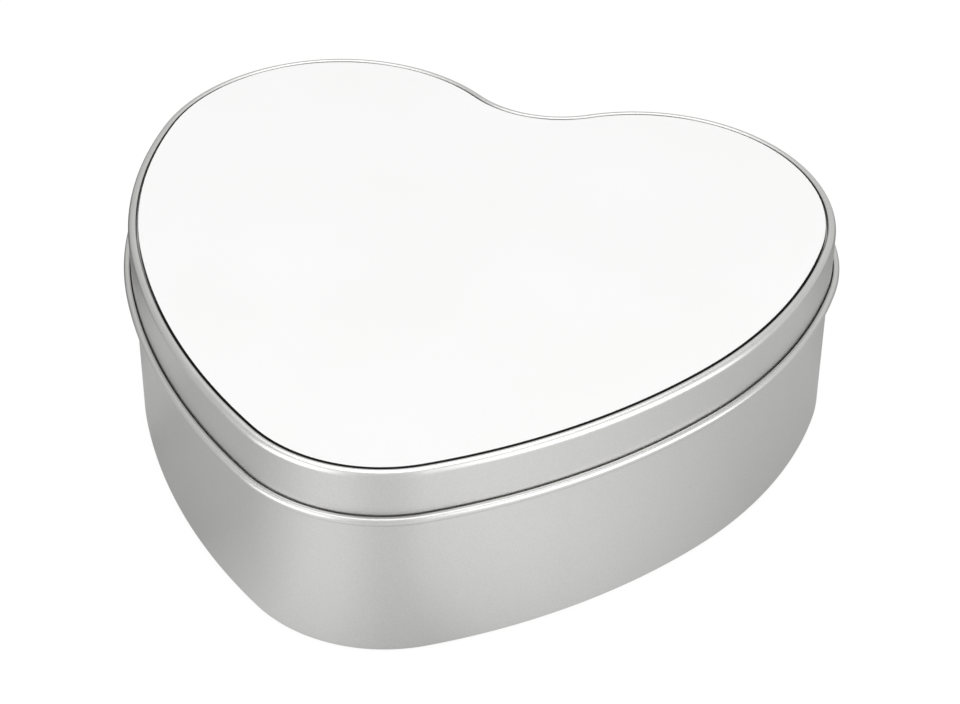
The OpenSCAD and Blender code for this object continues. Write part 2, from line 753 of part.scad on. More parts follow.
module great_gear() {
    hole_r = 1.3;
    hole_reach = 3.6;
    color(BRASS) on_movement() difference() {
        across_x(great_x, great_w) translate([train_y, axis_z])
            gear_outline(fine_module, great_teeth, fine_play, -governor_dip);
        rod_along_x(shaft_r, great_x - over, great_x + great_w + over, [train_y, axis_z]);
        for (a = [45 : 90 : 315])
            rod_along_x(hole_r, great_x - over, great_x + great_w + over,
                [train_y, axis_z] + hole_reach * [cos(a), sin(a)]);
    }
}

module cylinder_bushes() {
    color(BRASS) on_movement() for (x = [left_lug_x, right_lug_x]) difference() {
        rod_along_x(bush_r, x - bush_over, x + lug_t + bush_over, [train_y, axis_z]);
        rod_along_x(shaft_r + fine_gap, x - over, x + lug_t + over, [train_y, axis_z]);
    }
}

module comb() {
    left = comb_mid_x - comb_l / 2;
    back = comb_back_y + 0.4;
    tooth_back = back + 0.6;
    root_t = 1;
    taper_l = 2.5;
    color("#8f959b") on_movement() difference() {
        union() {
            translate([0, 0, comb_z]) linear_extrude(comb_t) polygon([
                [left, back],
                [left + comb_l, back],
                [left + comb_l, comb_root_treble],
                [left, comb_root_bass]
            ]);
            for (i = [0 : comb_teeth - 1]) across_x(tooth_x(i) - tooth_w / 2, tooth_w) polygon([
                [tooth_back, comb_top],
                [tooth_back, comb_top - root_t],
                [tooth_root_y(i), comb_top - root_t],
                [tooth_root_y(i) + taper_l, comb_top - tip_t],
                [comb_tip_y, comb_top - tip_t],
                [comb_tip_y, comb_top]
            ]);
        }
        for (p = comb_screw_places) rod_up(screw_r + screw_gap, comb_z - over, comb_top + over, p);
    }
}

module comb_weights() {
    weighted = 7;
    tallest = 1.5;
    step_down = 0.13;
    length = 2.2;
    from_tip = 3.8;
    color("#7d8086") on_movement() for (i = [0 : weighted - 1])
        let (h = tallest - step_down * i)
        translate([tooth_x(i) - tooth_w / 2, comb_tip_y - from_tip, comb_top - tip_t - h])
            cube([tooth_w, length, h]);
}

module comb_screws() {
    slot_turn = 60;
    color(STEEL) on_movement() for (p = comb_screw_places) translate([p.x, p.y, comb_top])
        rotate(slot_turn * p.x) slotted_screw(screw_r, comb_t + screw_grip, screw_head_r);
}

// ---- Governor ----

module governor_frame() {
    back_y = plate_w / 2;
    front_y = governor_p.x - 3.4;
    base_y = governor_p.x + 3;
    foot_l = 6.2;
    foot_w = 5.2;
    foot_y = governor_screw_places[0].y - foot_w / 2;
    post_w = 3.6;
    arm_start = left_cheek_x + 0.3;
    arm_end_y = worm_p.y + 1.8;
    right_face = right_cheek_x + cheek_t;
    recess = 0.4;
    base_top = plate_t + frame_base_t;
    // The cheeks end beside the worm and are hollowed to clear its thread
    cheek_end_y = worm_p.y - 1.2;
    thread_gap = 0.3;
    color(BRASS) on_movement() difference() {
        union() {
            for (x = [left_cheek_x, right_cheek_x])
                translate([x, front_y, plate_t]) cube([cheek_t, cheek_end_y - front_y, cheek_top - plate_t]);
            translate([left_cheek_x, base_y, plate_t])
                cube([right_face - left_cheek_x, back_y - base_y, frame_base_t]);
            translate([left_cheek_x - foot_l, foot_y, plate_t]) cube([foot_l + sink, foot_w, frame_base_t]);
            translate([right_cheek_x, front_y, plate_t]) cube([cheek_t, post_w, arm_z + arm_t - plate_t]);
            translate([arm_start, front_y, arm_z]) cube([right_face - arm_start, arm_end_y - front_y, arm_t]);
        }
        for (x = [left_cheek_x, right_cheek_x])
            rod_along_x(governor_shaft_r + fine_gap, x - sink, x + cheek_t + sink, governor_p);
        rod_up(worm_pivot_r + fine_gap, plate_t + recess, base_top + over, worm_p);
        rod_up(worm_tip_r + thread_gap, base_top, cheek_top + over, worm_p);
        rod_up(bearing_r, arm_z - over, arm_z + arm_t + over, worm_p);
        for (p = governor_screw_places) rod_up(screw_r + screw_gap, plate_t - over, base_top + over, p);
    }
}

module governor_screws() {
    head_r = 1.6;
    slot_turn = 17;
    color(STEEL) on_movement() for (p = governor_screw_places)
        translate([p.x, p.y, plate_t + frame_base_t]) rotate(slot_turn * p.y)
            slotted_screw(screw_r, frame_base_t + plate_t - hole_floor - screw_end_gap, head_r);
}

module governor_pinion() {
    side = 0.2;
    pinion_from = great_x - side;
    pinion_to = great_x + great_w + side;
    shaft_end = right_cheek_x + cheek_t + 0.4;
    color(STEEL) on_movement() {
        across_x(pinion_from, pinion_to - pinion_from) translate(governor_p)
            gear_outline(fine_module, governor_teeth, fine_play,
                180 - governor_dip + 180 / governor_teeth);
        rod_along_x(governor_shaft_r, pinion_to - sink, shaft_end, governor_p);
    }
}

module worm_wheel() {
    hub_r = 1.3;
    hub_left = 0.25;
    hub_right = 0.4;
    color(BRASS) on_movement() difference() {
        union() {
            across_x(wheel_x, wheel_w) translate(governor_p)
                gear_outline(worm_module, wheel_teeth, worm_play, 180 / wheel_teeth, worm_addendum);
            rod_along_x(hub_r, wheel_x - hub_left, wheel_x + wheel_w + hub_right, governor_p);
        }
        rod_along_x(governor_shaft_r, wheel_x - over, wheel_x + wheel_w + over, governor_p);
    }
}

module worm_shaft() {
    lead = PI * worm_module;
    root_r = worm_r - 1.15 * worm_module;
    slope = tan(pressure_angle);
    half = lead / 4 - worm_play / 4;
    thread_sink = 0.1;
    foot = half + (worm_r - root_r + thread_sink) * slope;
    head = half - (worm_tip_r - worm_r) * slope;
    turns = 4.5;
    // The thread crosses the wheel's height where it faces the wheel
    start_z = governor_p.y - lead * turns / 2;
    core_z = plate_t + frame_base_t + 0.4;
    pivot_z = plate_t + 0.5;
    step = 0.3;
    color(STEEL) on_movement() translate(worm_p) {
        rod_up(worm_pivot_r, pivot_z, core_z);
        rod_up(root_r, core_z, brake_z - step);
        rod_up(brake_r, brake_z, brake_z + lever_t);
        rod_up(spindle_r, brake_z - sink, arm_z - step);
        rod_up(worm_pivot_r, arm_z - sink, arm_z + arm_t + step);
        helix([[root_r - thread_sink, start_z - foot], [worm_tip_r, start_z - head],
               [worm_tip_r, start_z + head], [root_r - thread_sink, start_z + foot]], lead, turns, 180);
    }
}

module air_brake() {
    hub_r = 1.1;
    bend_x = 0.64 * fly_r;
    tip_x = 0.93 * fly_r;
    tip_lead = 0.9;
    half = fly_t / 2;
    color("#d9dadb") on_movement() translate([worm_p.x, worm_p.y, fly_z]) difference() {
        union() {
            rod_up(hub_r, 0, fly_h);
            for (a = [0, 180]) rotate(a) linear_extrude(fly_h) polygon([
                [hub_r - half, -half],
                [hub_r - half, half],
                [bend_x - half / 2, half],
                [tip_x, tip_lead + fly_t],
                [tip_x, tip_lead],
                [bend_x + half / 2, -half]
            ]);
        }
        rod_up(spindle_r, -over, fly_h + over);
    }
}

module top_bearing() {
    flange = 0.5;
    color(BRASS) on_movement() translate(worm_p) difference() {
        union() {
            rod_up(bearing_r, arm_z - bush_over, arm_z + arm_t);
            rod_up(bearing_r + flange, arm_z + arm_t, arm_z + arm_t + flange);
        }
        rod_up(worm_pivot_r + fine_gap, arm_z - over, arm_z + arm_t + over);
    }
}

// ---- Stop lever ----

module stop_lever() {
    shoe = worm_p + [0, brake_r + shoe_gap] - lever_p;
    shoe_half = 1.75;
    eye_r = 2.2;
    arm_half = 1.6;
    tail_l = 7;
    tail_w = 2.2;
    tab_t = 0.9;
    tab_w = 3.2;
    tab_h = 4;
    color(STEEL) on_movement() translate([lever_p.x, lever_p.y, brake_z]) {
        linear_extrude(lever_t) difference() {
            union() {
                circle(eye_r);
                polygon([
                    [0, -arm_half],
                    [shoe.x - shoe_half, shoe.y],
                    [shoe.x + shoe_half, shoe.y],
                    [shoe.x + shoe_half, arm_half / 2],
                    [0, arm_half]
                ]);
                translate([-tail_l, -tail_w / 2]) square([tail_l, tail_w]);
            }
            circle(screw_r + run_gap);
        }
        translate([-tail_l - tab_t, -tab_w / 2, 0]) cube([tab_t + 0.1, tab_w, tab_h]);
    }
}

module lever_screw() {
    slot_turn = 25;
    color(STEEL) on_movement() translate([lever_p.x, lever_p.y, lever_post_z + lever_t + end_gap])
        rotate(slot_turn) slotted_screw(screw_r, lever_t + end_gap + screw_grip, screw_head_r);
}

tin_body();
lid_shell();
lid_panel();
panel_adhesive();
mounting_screws();
bedplate();
winding_arbor();
winding_key();
drive_gear();
clutch_spring();
spring_cover();
mainspring();
spring_housing();
housing_screws();
cylinder_drum();
drum_end_caps();
cylinder_shaft();
cylinder_pinion();
great_gear();
cylinder_bushes();
comb();
comb_weights();
comb_screws();
governor_frame();
governor_screws();
governor_pinion();
worm_wheel();
worm_shaft();
air_brake();
top_bearing();
stop_lever();
lever_screw();
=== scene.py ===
import json
import math

import bmesh
import bpy
from mathutils import Matrix, Vector


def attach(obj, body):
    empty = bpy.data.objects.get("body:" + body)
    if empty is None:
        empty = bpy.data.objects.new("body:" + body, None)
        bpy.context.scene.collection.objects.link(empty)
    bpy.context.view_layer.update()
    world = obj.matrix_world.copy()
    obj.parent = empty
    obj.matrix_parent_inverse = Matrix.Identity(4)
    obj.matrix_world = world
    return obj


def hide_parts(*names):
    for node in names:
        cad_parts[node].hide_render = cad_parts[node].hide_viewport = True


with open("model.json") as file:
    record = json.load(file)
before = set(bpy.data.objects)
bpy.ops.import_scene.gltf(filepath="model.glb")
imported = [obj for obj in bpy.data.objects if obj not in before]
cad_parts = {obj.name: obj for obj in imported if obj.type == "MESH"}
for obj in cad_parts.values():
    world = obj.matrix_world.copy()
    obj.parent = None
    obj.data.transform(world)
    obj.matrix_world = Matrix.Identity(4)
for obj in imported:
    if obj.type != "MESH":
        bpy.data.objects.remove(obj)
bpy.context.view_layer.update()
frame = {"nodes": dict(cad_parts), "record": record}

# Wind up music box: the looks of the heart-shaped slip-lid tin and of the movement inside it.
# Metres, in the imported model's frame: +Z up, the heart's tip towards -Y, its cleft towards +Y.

MM = 0.001

# ---- Sizes of the tin, in millimetres, as the solids have them save for the rounding named below ----

# The lid's skirt seen from above, and the radii of its arcs from the tip round to the cleft
SKIRT_W, SKIRT_L = 129.4, 120.4
TIP_R, SIDE_R, FLANK_R, LOBE_R, CLEFT_R = 28.6, 121.5, 81.2, 34.9, 19.1
# Height of the closed tin, thickness of its sheet, and the gap between lid and body
CLOSED_H, SHEET, LID_GAP = 39.9, 0.25, 0.1
# The lid: depth of the skirt, radius of the curl at its edge and the angle at which the curl ends
LID_DEPTH, CURL_R, CURL_END = 10.4, 0.8, 110
# The lid's top: radius of the shoulder, width of the ridge, and depth of the recess inside it
SHOULDER_R, RIDGE_W, RECESS = 1.15, 1.55, 1.3
# The body: radius of its bottom corner and of the rolled hem, and the gap over the hem
BOTTOM_R, HEM_R, HEM_GAP = 1.2, 0.38, 0.05
# The white panel: thickness, gap to the ridge, and rounding of its top edge, which the solid bevels instead
PANEL_T, PANEL_GAP, PANEL_EDGE_R = 1.1, 0.3, 0.12
# The adhesive under the panel: thickness, and how far it stops short of the panel's edge
GLUE_T, GLUE_INSET = 0.15, 1.0
# The key well pressed up in the floor: radius, height, inner bend, and place towards the cleft
WELL_R, WELL_H, WELL_BEND, WELL_Y = 29.0, 10.0, 1.5, 6.0
# Holes in the well's roof, as (place, radius, points drawn): the winding arbor's, then the screws'
WELL_HOLES = [((-14.0, 9.0), 3.0, 48)]
WELL_HOLES += [(at, 1.35, 32) for at in ((-18.0, -10.0), (18.0, -10.0), (3.0, 23.0))]

# Largest gap between a drawn chord and its arc, along the outline
OUTLINE_SAG = 0.003
# Steps drawn along a bend of the sheet, along the panel's small edge, and round the key well
BEND_STEPS, EDGE_STEPS, WELL_STEPS = 14, 6, 160
# A ring of points HOLD away from each bend keeps a run longer than LONG_RUN flat under smooth shading
HOLD, LONG_RUN = 0.08, 0.48
# Flat stretches are drawn this far beyond a bend, and one face closes the rest
FLAT_RUN, WELL_FLAT_RUN, PANEL_FLAT_RUN = 2, 1, 1
# Edges that bend by more than this, in degrees, stay sharp
SHARP_ANGLE = 50
# Points closer than this, in metres, are one
SAME_POINT = 1e-7


# ---- The heart's outline: a chain of arcs, each tangent to the next, then mirrored ----

def polar(centre, radius, degrees):
    """The point at a radius and a direction from centre."""
    a = math.radians(degrees)
    return Vector((centre[0] + radius * math.cos(a), centre[1] + radius * math.sin(a)))


def circle_crossing(a, ra, b, rb):
    """The crossing of two circles that lies to the left of the line from a to b."""
    line = b - a
    d = line.length
    u = line / d
    along = (ra * ra - rb * rb + d * d) / (2 * d)
    return a + along * u + math.sqrt(ra * ra - along * along) * Vector((-u.y, u.x))


def heading(start, end):
    """The direction from start to end, in degrees."""
    return math.degrees(math.atan2(end.y - start.y, end.x - start.x))


def arc_stations(centre, radius, start, end, out=1):
    """(point, outward normal) along one arc, without its last point."""
    step = 2 * math.degrees(math.acos(1 - OUTLINE_SAG / radius))
    count = math.ceil(abs(end - start) / step)
    turns = [start + (end - start) * i / count for i in range(count)]
    return [(polar(centre, radius, t), out * polar((0, 0), 1, t)) for t in turns]


def heart_stations():
    """(point, outward normal) all round the skirt, anticlockwise from the tip."""
    lobe_y = SKIRT_L / 2 - LOBE_R
    tip_c = Vector((0, TIP_R - SKIRT_L / 2))
    flank_c = Vector((SKIRT_W / 2 - FLANK_R, lobe_y))
    lobe_c = Vector((SKIRT_W / 2 - LOBE_R, lobe_y))
    cleft_c = Vector((0, lobe_y + math.sqrt((CLEFT_R + LOBE_R) ** 2 - lobe_c.x ** 2)))
    side_c = circle_crossing(tip_c, SIDE_R - TIP_R, flank_c, SIDE_R - FLANK_R)
    tip_end, side_end = heading(side_c, tip_c), heading(side_c, flank_c)
    lobe_end = heading(lobe_c, cleft_c)
    right = (
        arc_stations(tip_c, TIP_R, -90, tip_end)
        + arc_stations(side_c, SIDE_R, tip_end, side_end)
        + arc_stations(flank_c, FLANK_R, side_end, 0)
        + arc_stations(lobe_c, LOBE_R, 0, lobe_end)
        + arc_stations(cleft_c, CLEFT_R, lobe_end - 180, -90, -1)
    )
    cleft = [(cleft_c - Vector((0, CLEFT_R)), Vector((0, 1)))]
    left = [(Vector((-p.x, p.y)), Vector((-n.x, n.y))) for p, n in reversed(right[1:])]
    return right + cleft + left


STATIONS = heart_stations()


# ---- Building meshes ----

def arc(centre, radius, start, end, steps):
    """Section points along an arc; x is the offset from the skirt, y the height."""
    return [polar(centre, radius, start + (end - start) * i / steps) for i in range(steps + 1)]


def held(section):
    """The section with extra points beside the ends of each long straight run."""
    out = [section[0]]
    for a, b in zip(section, section[1:]):
        run = b - a
        if run.length > LONG_RUN:
            out += [a + run.normalized() * HOLD, b - run.normalized() * HOLD]
        out.append(b)
    return out


def heart_ring(bm, offset, z):
    """Points round the heart, set out from the skirt by offset, at height z."""
    return [bm.verts.new(((p.x + offset * n.x) * MM, (p.y + offset * n.y) * MM, z * MM)) for p, n in STATIONS]


def circle_ring(bm, centre, radius, z, count):
    """Points round a circle at height z."""
    points = [polar(centre, radius, 360 * i / count) for i in range(count)]
    return [bm.verts.new((p.x * MM, p.y * MM, z * MM)) for p in points]


def bridge(bm, lower, upper):
    """Quads between two rings of equal length; the outside is on the right of lower to upper."""
    n = len(lower)
    for i in range(n):
        bm.faces.new((lower[i], lower[(i + 1) % n], upper[(i + 1) % n], upper[i]))


def sweep(bm, section):
    """Carries a section round the heart and returns its first and last rings."""
    rings = [heart_ring(bm, p.x, p.y) for p in section]
    for a, b in zip(rings, rings[1:]):
        bridge(bm, a, b)
    return rings[0], rings[-1]


def ring_edges(bm, ring):
    return [bm.edges.get((a, b)) or bm.edges.new((a, b)) for a, b in zip(ring, ring[1:] + ring[:1])]


def flat_fill(bm, outer, holes, up):
    """A flat face inside outer with holes left open."""
    edges = [e for ring in [outer] + holes for e in ring_edges(bm, ring)]
    made = bmesh.ops.triangle_fill(bm, use_beauty=True, edges=edges, normal=(0, 0, 1 if up else -1))
    for f in made["geom"]:
        if isinstance(f, bmesh.types.BMFace) and (f.normal.z > 0) != up:
            f.normal_flip()


def finished(name, bm, slot, body, replaced):
    """Turns a bmesh into a smooth-shaded piece that rides on a body and stands for a CAD node."""
    bmesh.ops.remove_doubles(bm, verts=bm.verts, dist=SAME_POINT)
    bmesh.ops.recalc_face_normals(bm, faces=bm.faces)
    for e in bm.edges:
        e.smooth = len(e.link_faces) == 2 and e.calc_face_angle() < math.radians(SHARP_ANGLE)
    for f in bm.faces:
        f.smooth = True
    mesh = bpy.data.meshes.new(name)
    bm.to_mesh(mesh)
    bm.free()
    mesh.materials.append(MATERIALS[slot])
    piece = bpy.data.objects.new(name, mesh)
    bpy.context.scene.collection.objects.link(piece)
    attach(piece, body)
    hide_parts(replaced)


# ---- Node materials ----

def mapped(tree, value, low, high, at=(0, 1)):
    """Carries the part of a value given by at onto low to high."""
    made = tree.nodes.new("ShaderNodeMapRange")
    made.inputs["From Min"].default_value, made.inputs["From Max"].default_value = at
    made.inputs["To Min"].default_value, made.inputs["To Max"].default_value = low, high
    tree.links.new(value, made.inputs["Value"])
    return made.outputs["Result"]


def maths(tree, operation, *values):
    """The result of a math node on outputs or plain numbers."""
    made = tree.nodes.new("ShaderNodeMath")
    made.operation = operation
    for socket, value in zip(made.inputs, values):
        if isinstance(value, bpy.types.NodeSocket):
            tree.links.new(value, socket)
        else:
            socket.default_value = value
    return made.outputs[0]


def axis_parts(tree, output):
    """The X, Y and Z of one of the texture coordinates."""
    parts = tree.nodes.new("ShaderNodeSeparateXYZ")
    tree.links.new(tree.nodes.new("ShaderNodeTexCoord").outputs[output], parts.inputs[0])
    return parts.outputs


# Where a Mix node keeps its colour sockets; its number and vector sockets have the same names
MIX_COLOUR_A, MIX_COLOUR_B, MIX_COLOUR_RESULT = 6, 7, 2


class Shader:
    """A node material with a Principled shader and short calls for what feeds it."""

    def __init__(self, name, **values):
        self.material = bpy.data.materials.new(name)
        self.material.use_nodes = True
        self.tree = self.material.node_tree
        self.surface = self.tree.nodes["Principled BSDF"]
        for key, value in values.items():
            self.surface.inputs[key.replace("_", " ")].default_value = value
        self.place = self.node("ShaderNodeTexCoord").outputs["Object"]

    def node(self, kind, **settings):
        made = self.tree.nodes.new(kind)
        for key, value in settings.items():
            setattr(made, key, value)
        return made

    def link(self, source, target):
        self.tree.links.new(source, target)

    def stretched(self, scale):
        """Object coordinates scaled along each axis."""
        made = self.node("ShaderNodeMapping")
        made.inputs["Scale"].default_value = scale
        self.link(self.place, made.inputs["Vector"])
        return made.outputs["Vector"]

    def noise(self, size, detail=2, rough=0.5, vector=None):
        """Noise whose features are about size metres across."""
        made = self.node("ShaderNodeTexNoise")
        made.inputs["Scale"].default_value = 1 / size
        made.inputs["Detail"].default_value = detail
        made.inputs["Roughness"].default_value = rough
        self.link(vector or self.place, made.inputs["Vector"])
        return made.outputs["Fac"]

    def span(self, value, low, high, at=(0.3, 0.7)):
        """Carries a value's middle range onto low to high."""
        return mapped(self.tree, value, low, high, at)

    def blend(self, factor, a, b):
        """From colour a to colour b."""
        made = self.node("ShaderNodeMix", data_type="RGBA")
        made.inputs["A"].default_value = (*a, 1)
        made.inputs["B"].default_value = (*b, 1)
        self.link(factor, made.inputs["Factor"])
        return made.outputs["Result"]

    def merge(self, factor, a, b):
        """Mixes two colour outputs."""
        made = self.node("ShaderNodeMix", data_type="RGBA")
        self.link(a, made.inputs[MIX_COLOUR_A])
        self.link(b, made.inputs[MIX_COLOUR_B])
        self.link(factor, made.inputs["Factor"])
        return made.outputs[MIX_COLOUR_RESULT]

    def merge_values(self, factor, low, value):
        """From a plain value at factor 0 to an output at factor 1."""
        made = self.node("ShaderNodeMix")
        made.inputs["A"].default_value = low
        self.link(value, made.inputs["B"])
        self.link(factor, made.inputs["Factor"])
        return made.outputs["Result"]

    def facing_up(self):
        """1 where the surface faces up or down, 0 on an upright wall."""
        return maths(self.tree, "ABSOLUTE", axis_parts(self.tree, "Normal")["Z"])

    def bump(self, height, depth):
        """Raises the surface by depth metres where height is 1."""
        made = self.node("ShaderNodeBump")
        made.inputs["Distance"].default_value = depth
        made.inputs["Strength"].default_value = 1
        self.link(height, made.inputs["Height"])
        self.link(made.outputs["Normal"], self.surface.inputs["Normal"])

    def colour(self, output):
        self.link(output, self.surface.inputs["Base Color"])

    def roughness(self, output):
        self.link(output, self.surface.inputs["Roughness"])


def tinplate():
    """Satin tinplate: a fine matt grain with a few brighter crystals."""
    s = Shader("satin_tinplate", Metallic=1.0)
    grain = s.noise(0.00022, detail=3, rough=0.6)
    cloud = s.noise(0.012, detail=2)
    s.colour(s.blend(s.span(grain, 0, 1), (0.60, 0.60, 0.59), (0.68, 0.68, 0.67)))
    s.roughness(s.span(cloud, 0.30, 0.36))
    s.bump(grain, 0.000006)
    return s.material


def white_panel():
    """The lid panel: a plain white coated face, its upright cut edge coloured nearly black as painted shade
    for the gap between panel and ridge.
    """
    s = Shader("white_panel", Roughness=0.32, IOR=1.45)
    peel = s.noise(0.0012, detail=2)
    face = s.blend(s.span(s.noise(0.03), 0, 1), (0.90, 0.90, 0.895), (0.915, 0.915, 0.915))
    # Painted shade: the upright edge, picked out by the mask below, is coloured nearly black with this noise
    # in its tone, standing in for the shade in the gap between panel and ridge.
    gap_shade_noise = s.noise(0.0003, detail=3)
    edge = s.blend(s.span(gap_shade_noise, 0, 1), (0.008, 0.008, 0.008), (0.02, 0.02, 0.02))
    upright = s.span(s.facing_up(), 0, 1, at=(0.9, 0.97))
    s.colour(s.merge(upright, edge, face))
    s.roughness(s.merge_values(upright, 0.6, s.span(peel, 0.3, 0.38)))
    s.bump(peel, 0.000002)
    return s.material


def adhesive():
    """A thin sheet of cream-coloured glue."""
    s = Shader("adhesive", Roughness=0.7)
    mottle = s.noise(0.0008, detail=3)
    s.colour(s.blend(s.span(mottle, 0, 1), (0.72, 0.70, 0.62), (0.8, 0.78, 0.71)))
    s.bump(mottle, 0.00002)
    return s.material


# Tool marks are this much narrower than they are long
MARK_SQUEEZE = 0.08


def turned_metal(name, dark, light, low, high, along, fine=0.00006):
    """Metal with tool marks; along is the axis that the marks run across."""
    s = Shader(name, Metallic=1.0)
    scale = [1.0 if axis == along else MARK_SQUEEZE for axis in "xyz"]
    marks = s.noise(fine, detail=2, vector=s.stretched(scale))
    cloud = s.noise(0.004, detail=3)
    s.colour(s.blend(s.span(cloud, 0, 1), dark, light))
    s.roughness(s.span(marks, low, high))
    s.bump(marks, 0.000003)
    return s.material


def cast_metal(name, dark, light, low, high, size):
    """Cast or tumbled metal: a soft uneven skin."""
    s = Shader(name, Metallic=1.0)
    skin = s.noise(size, detail=4, rough=0.6)
    s.colour(s.blend(s.span(skin, 0, 1), dark, light))
    s.roughness(s.span(s.noise(size * 5, detail=3), low, high))
    s.bump(skin, 0.00003)
    return s.material


MATERIALS = {
    "tinplate": tinplate(),
    "panel_white": white_panel(),
    "adhesive": adhesive(),
    "screw_steel": turned_metal("screw_steel", (0.50, 0.50, 0.49), (0.60, 0.60, 0.58), 0.2, 0.35, "z"),
    "cast_zinc": cast_metal("cast_zinc", (0.36, 0.37, 0.38), (0.47, 0.48, 0.49), 0.42, 0.55, 0.0004),
    "machined_steel": turned_metal("machined_steel", (0.50, 0.50, 0.51), (0.60, 0.60, 0.61), 0.18, 0.34, "z"),
    "plated_steel": cast_metal("plated_steel", (0.62, 0.61, 0.58), (0.68, 0.67, 0.64), 0.12, 0.2, 0.0015),
    "spring_steel": turned_metal("spring_steel", (0.13, 0.17, 0.25), (0.2, 0.25, 0.33), 0.25, 0.4, "z"),
    "drum_metal": turned_metal("drum_metal", (0.56, 0.55, 0.52), (0.64, 0.63, 0.6), 0.22, 0.36, "x"),
    "comb_steel": turned_metal("comb_steel", (0.42, 0.43, 0.45), (0.52, 0.53, 0.55), 0.24, 0.4, "x"),
    "lead": cast_metal("lead", (0.16, 0.165, 0.18), (0.25, 0.255, 0.27), 0.5, 0.65, 0.0003),
    "brass": turned_metal("brass", (0.66, 0.47, 0.19), (0.76, 0.57, 0.27), 0.2, 0.36, "x"),
    "sheet_aluminium": turned_metal("sheet_aluminium", (0.72, 0.72, 0.73), (0.8, 0.8, 0.81), 0.25, 0.4, "x"),
}

# Every CAD node takes the material of its slot in the record
for row in frame["record"]["subparts"]:
    node = frame["nodes"][row["node"]]
    node.data.materials.clear()
    node.data.materials.append(MATERIALS[row["material_slot"]])


# ---- The tin and its lid: sections, as offsets from the skirt and heights ----

RECESS_Z = CLOSED_H - RECESS
SHOULDER_C = Vector((-SHOULDER_R, CLOSED_H - SHOULDER_R))
RIDGE_IN_R = RIDGE_W - SHOULDER_R
RIDGE_IN_C = Vector((-SHOULDER_R, CLOSED_H - RIDGE_IN_R))
CURL_C = Vector((CURL_R - SHEET, CLOSED_H - LID_DEPTH + CURL_R))
WALL_OUT = -SHEET - LID_GAP


def closed_sweep(name, section, slot, body, replaced):
    """A piece swept round the heart whose first and last rings are closed by one face each."""
    bm = bmesh.new()
    for ring in sweep(bm, section):
        bm.faces.new(ring)
    finished(name, bm, slot, body, replaced)


def lid_shell():
    """The lid's sheet: recess, ridge, shoulder, skirt and curl outside, then back inside."""
    foot = Vector((-RIDGE_W, RECESS_Z))
    inside = Vector((SHEET - RIDGE_W, RECESS_Z - SHEET))
    inward = Vector((-FLAT_RUN, 0))
    curl_steps = 3 * BEND_STEPS
    closed_sweep("lid", held(
        [foot + inward, foot]
        + arc(RIDGE_IN_C, RIDGE_IN_R, 180, 90, BEND_STEPS)
        + arc(SHOULDER_C, SHOULDER_R, 90, 0, BEND_STEPS)[1:]
        + arc(CURL_C, CURL_R - SHEET, 180, 360 + CURL_END, curl_steps)
        + arc(CURL_C, CURL_R, CURL_END, -180, curl_steps)
        + arc(SHOULDER_C, SHOULDER_R - SHEET, 0, 90, BEND_STEPS)
        + arc(RIDGE_IN_C, RIDGE_IN_R - SHEET, 90, 180, BEND_STEPS)[1:]
        + [inside, inside + inward]
    ), "tinplate", "lid", "lid_shell")


def lid_panel():
    """The white board in the recess, rounded along its top edge."""
    edge = -RIDGE_W - PANEL_GAP
    low, high = RECESS_Z + GLUE_T, RECESS_Z + GLUE_T + PANEL_T
    round_c = Vector((edge - PANEL_EDGE_R, high - PANEL_EDGE_R))
    closed_sweep("panel", held(
        [Vector((edge - PANEL_FLAT_RUN, low)), Vector((edge, low))]
        + arc(round_c, PANEL_EDGE_R, 0, 90, EDGE_STEPS)
        + [Vector((edge - PANEL_FLAT_RUN, high))]
    ), "panel_white", "lid", "lid_panel")


def panel_adhesive():
    """The sheet of glue between the recess and the panel."""
    edge = -RIDGE_W - PANEL_GAP - GLUE_INSET
    section = [Vector((edge, RECESS_Z)), Vector((edge, RECESS_Z + GLUE_T))]
    closed_sweep("adhesive_sheet", section, "adhesive", "lid", "panel_adhesive")


def body_section():
    """The body's sheet: bottom corner inside, rolled hem under the lid's ridge, bottom corner outside."""
    hem_clear = SHOULDER_R - SHEET - HEM_R - HEM_GAP
    hem_x = WALL_OUT - HEM_R
    hem_c = Vector((hem_x, SHOULDER_C.y + math.sqrt(hem_clear ** 2 - (hem_x + SHOULDER_R) ** 2)))
    hem_foot = math.degrees(math.asin((HEM_R - SHEET) / HEM_R)) - 90
    corner_c = Vector((WALL_OUT - BOTTOM_R, BOTTOM_R))
    corner_in = arc(corner_c, BOTTOM_R - SHEET, -90, 0, BEND_STEPS)
    corner_out = arc(corner_c, BOTTOM_R, 0, -90, BEND_STEPS)
    inward = Vector((-FLAT_RUN, 0))
    return held(
        [corner_in[0] + inward] + corner_in
        + arc(hem_c, HEM_R, hem_foot + 360, 0, 3 * BEND_STEPS)
        + corner_out + [corner_out[-1] + inward]
    )


def well_wall(bm, thicker_roof, thicker_foot):
    """One face of the key well's sheet; returns its ring on the roof and its ring on the floor."""
    roof_c = (WELL_R - WELL_BEND, WELL_H - SHEET - WELL_BEND)
    foot_c = (WELL_R + SHEET + WELL_BEND, SHEET + WELL_BEND)
    profile = (
        arc(roof_c, WELL_BEND + thicker_roof, 90, 0, BEND_STEPS)
        + arc(foot_c, WELL_BEND + thicker_foot, 180, 270, BEND_STEPS)
    )
    run = Vector((WELL_FLAT_RUN, 0))
    profile = held([profile[0] - run] + profile + [profile[-1] + run])
    rings = [circle_ring(bm, (0, WELL_Y), p.x, p.y, WELL_STEPS) for p in profile]
    for a, b in zip(rings, rings[1:]):
        bridge(bm, a, b)
    return rings[0], rings[-1]


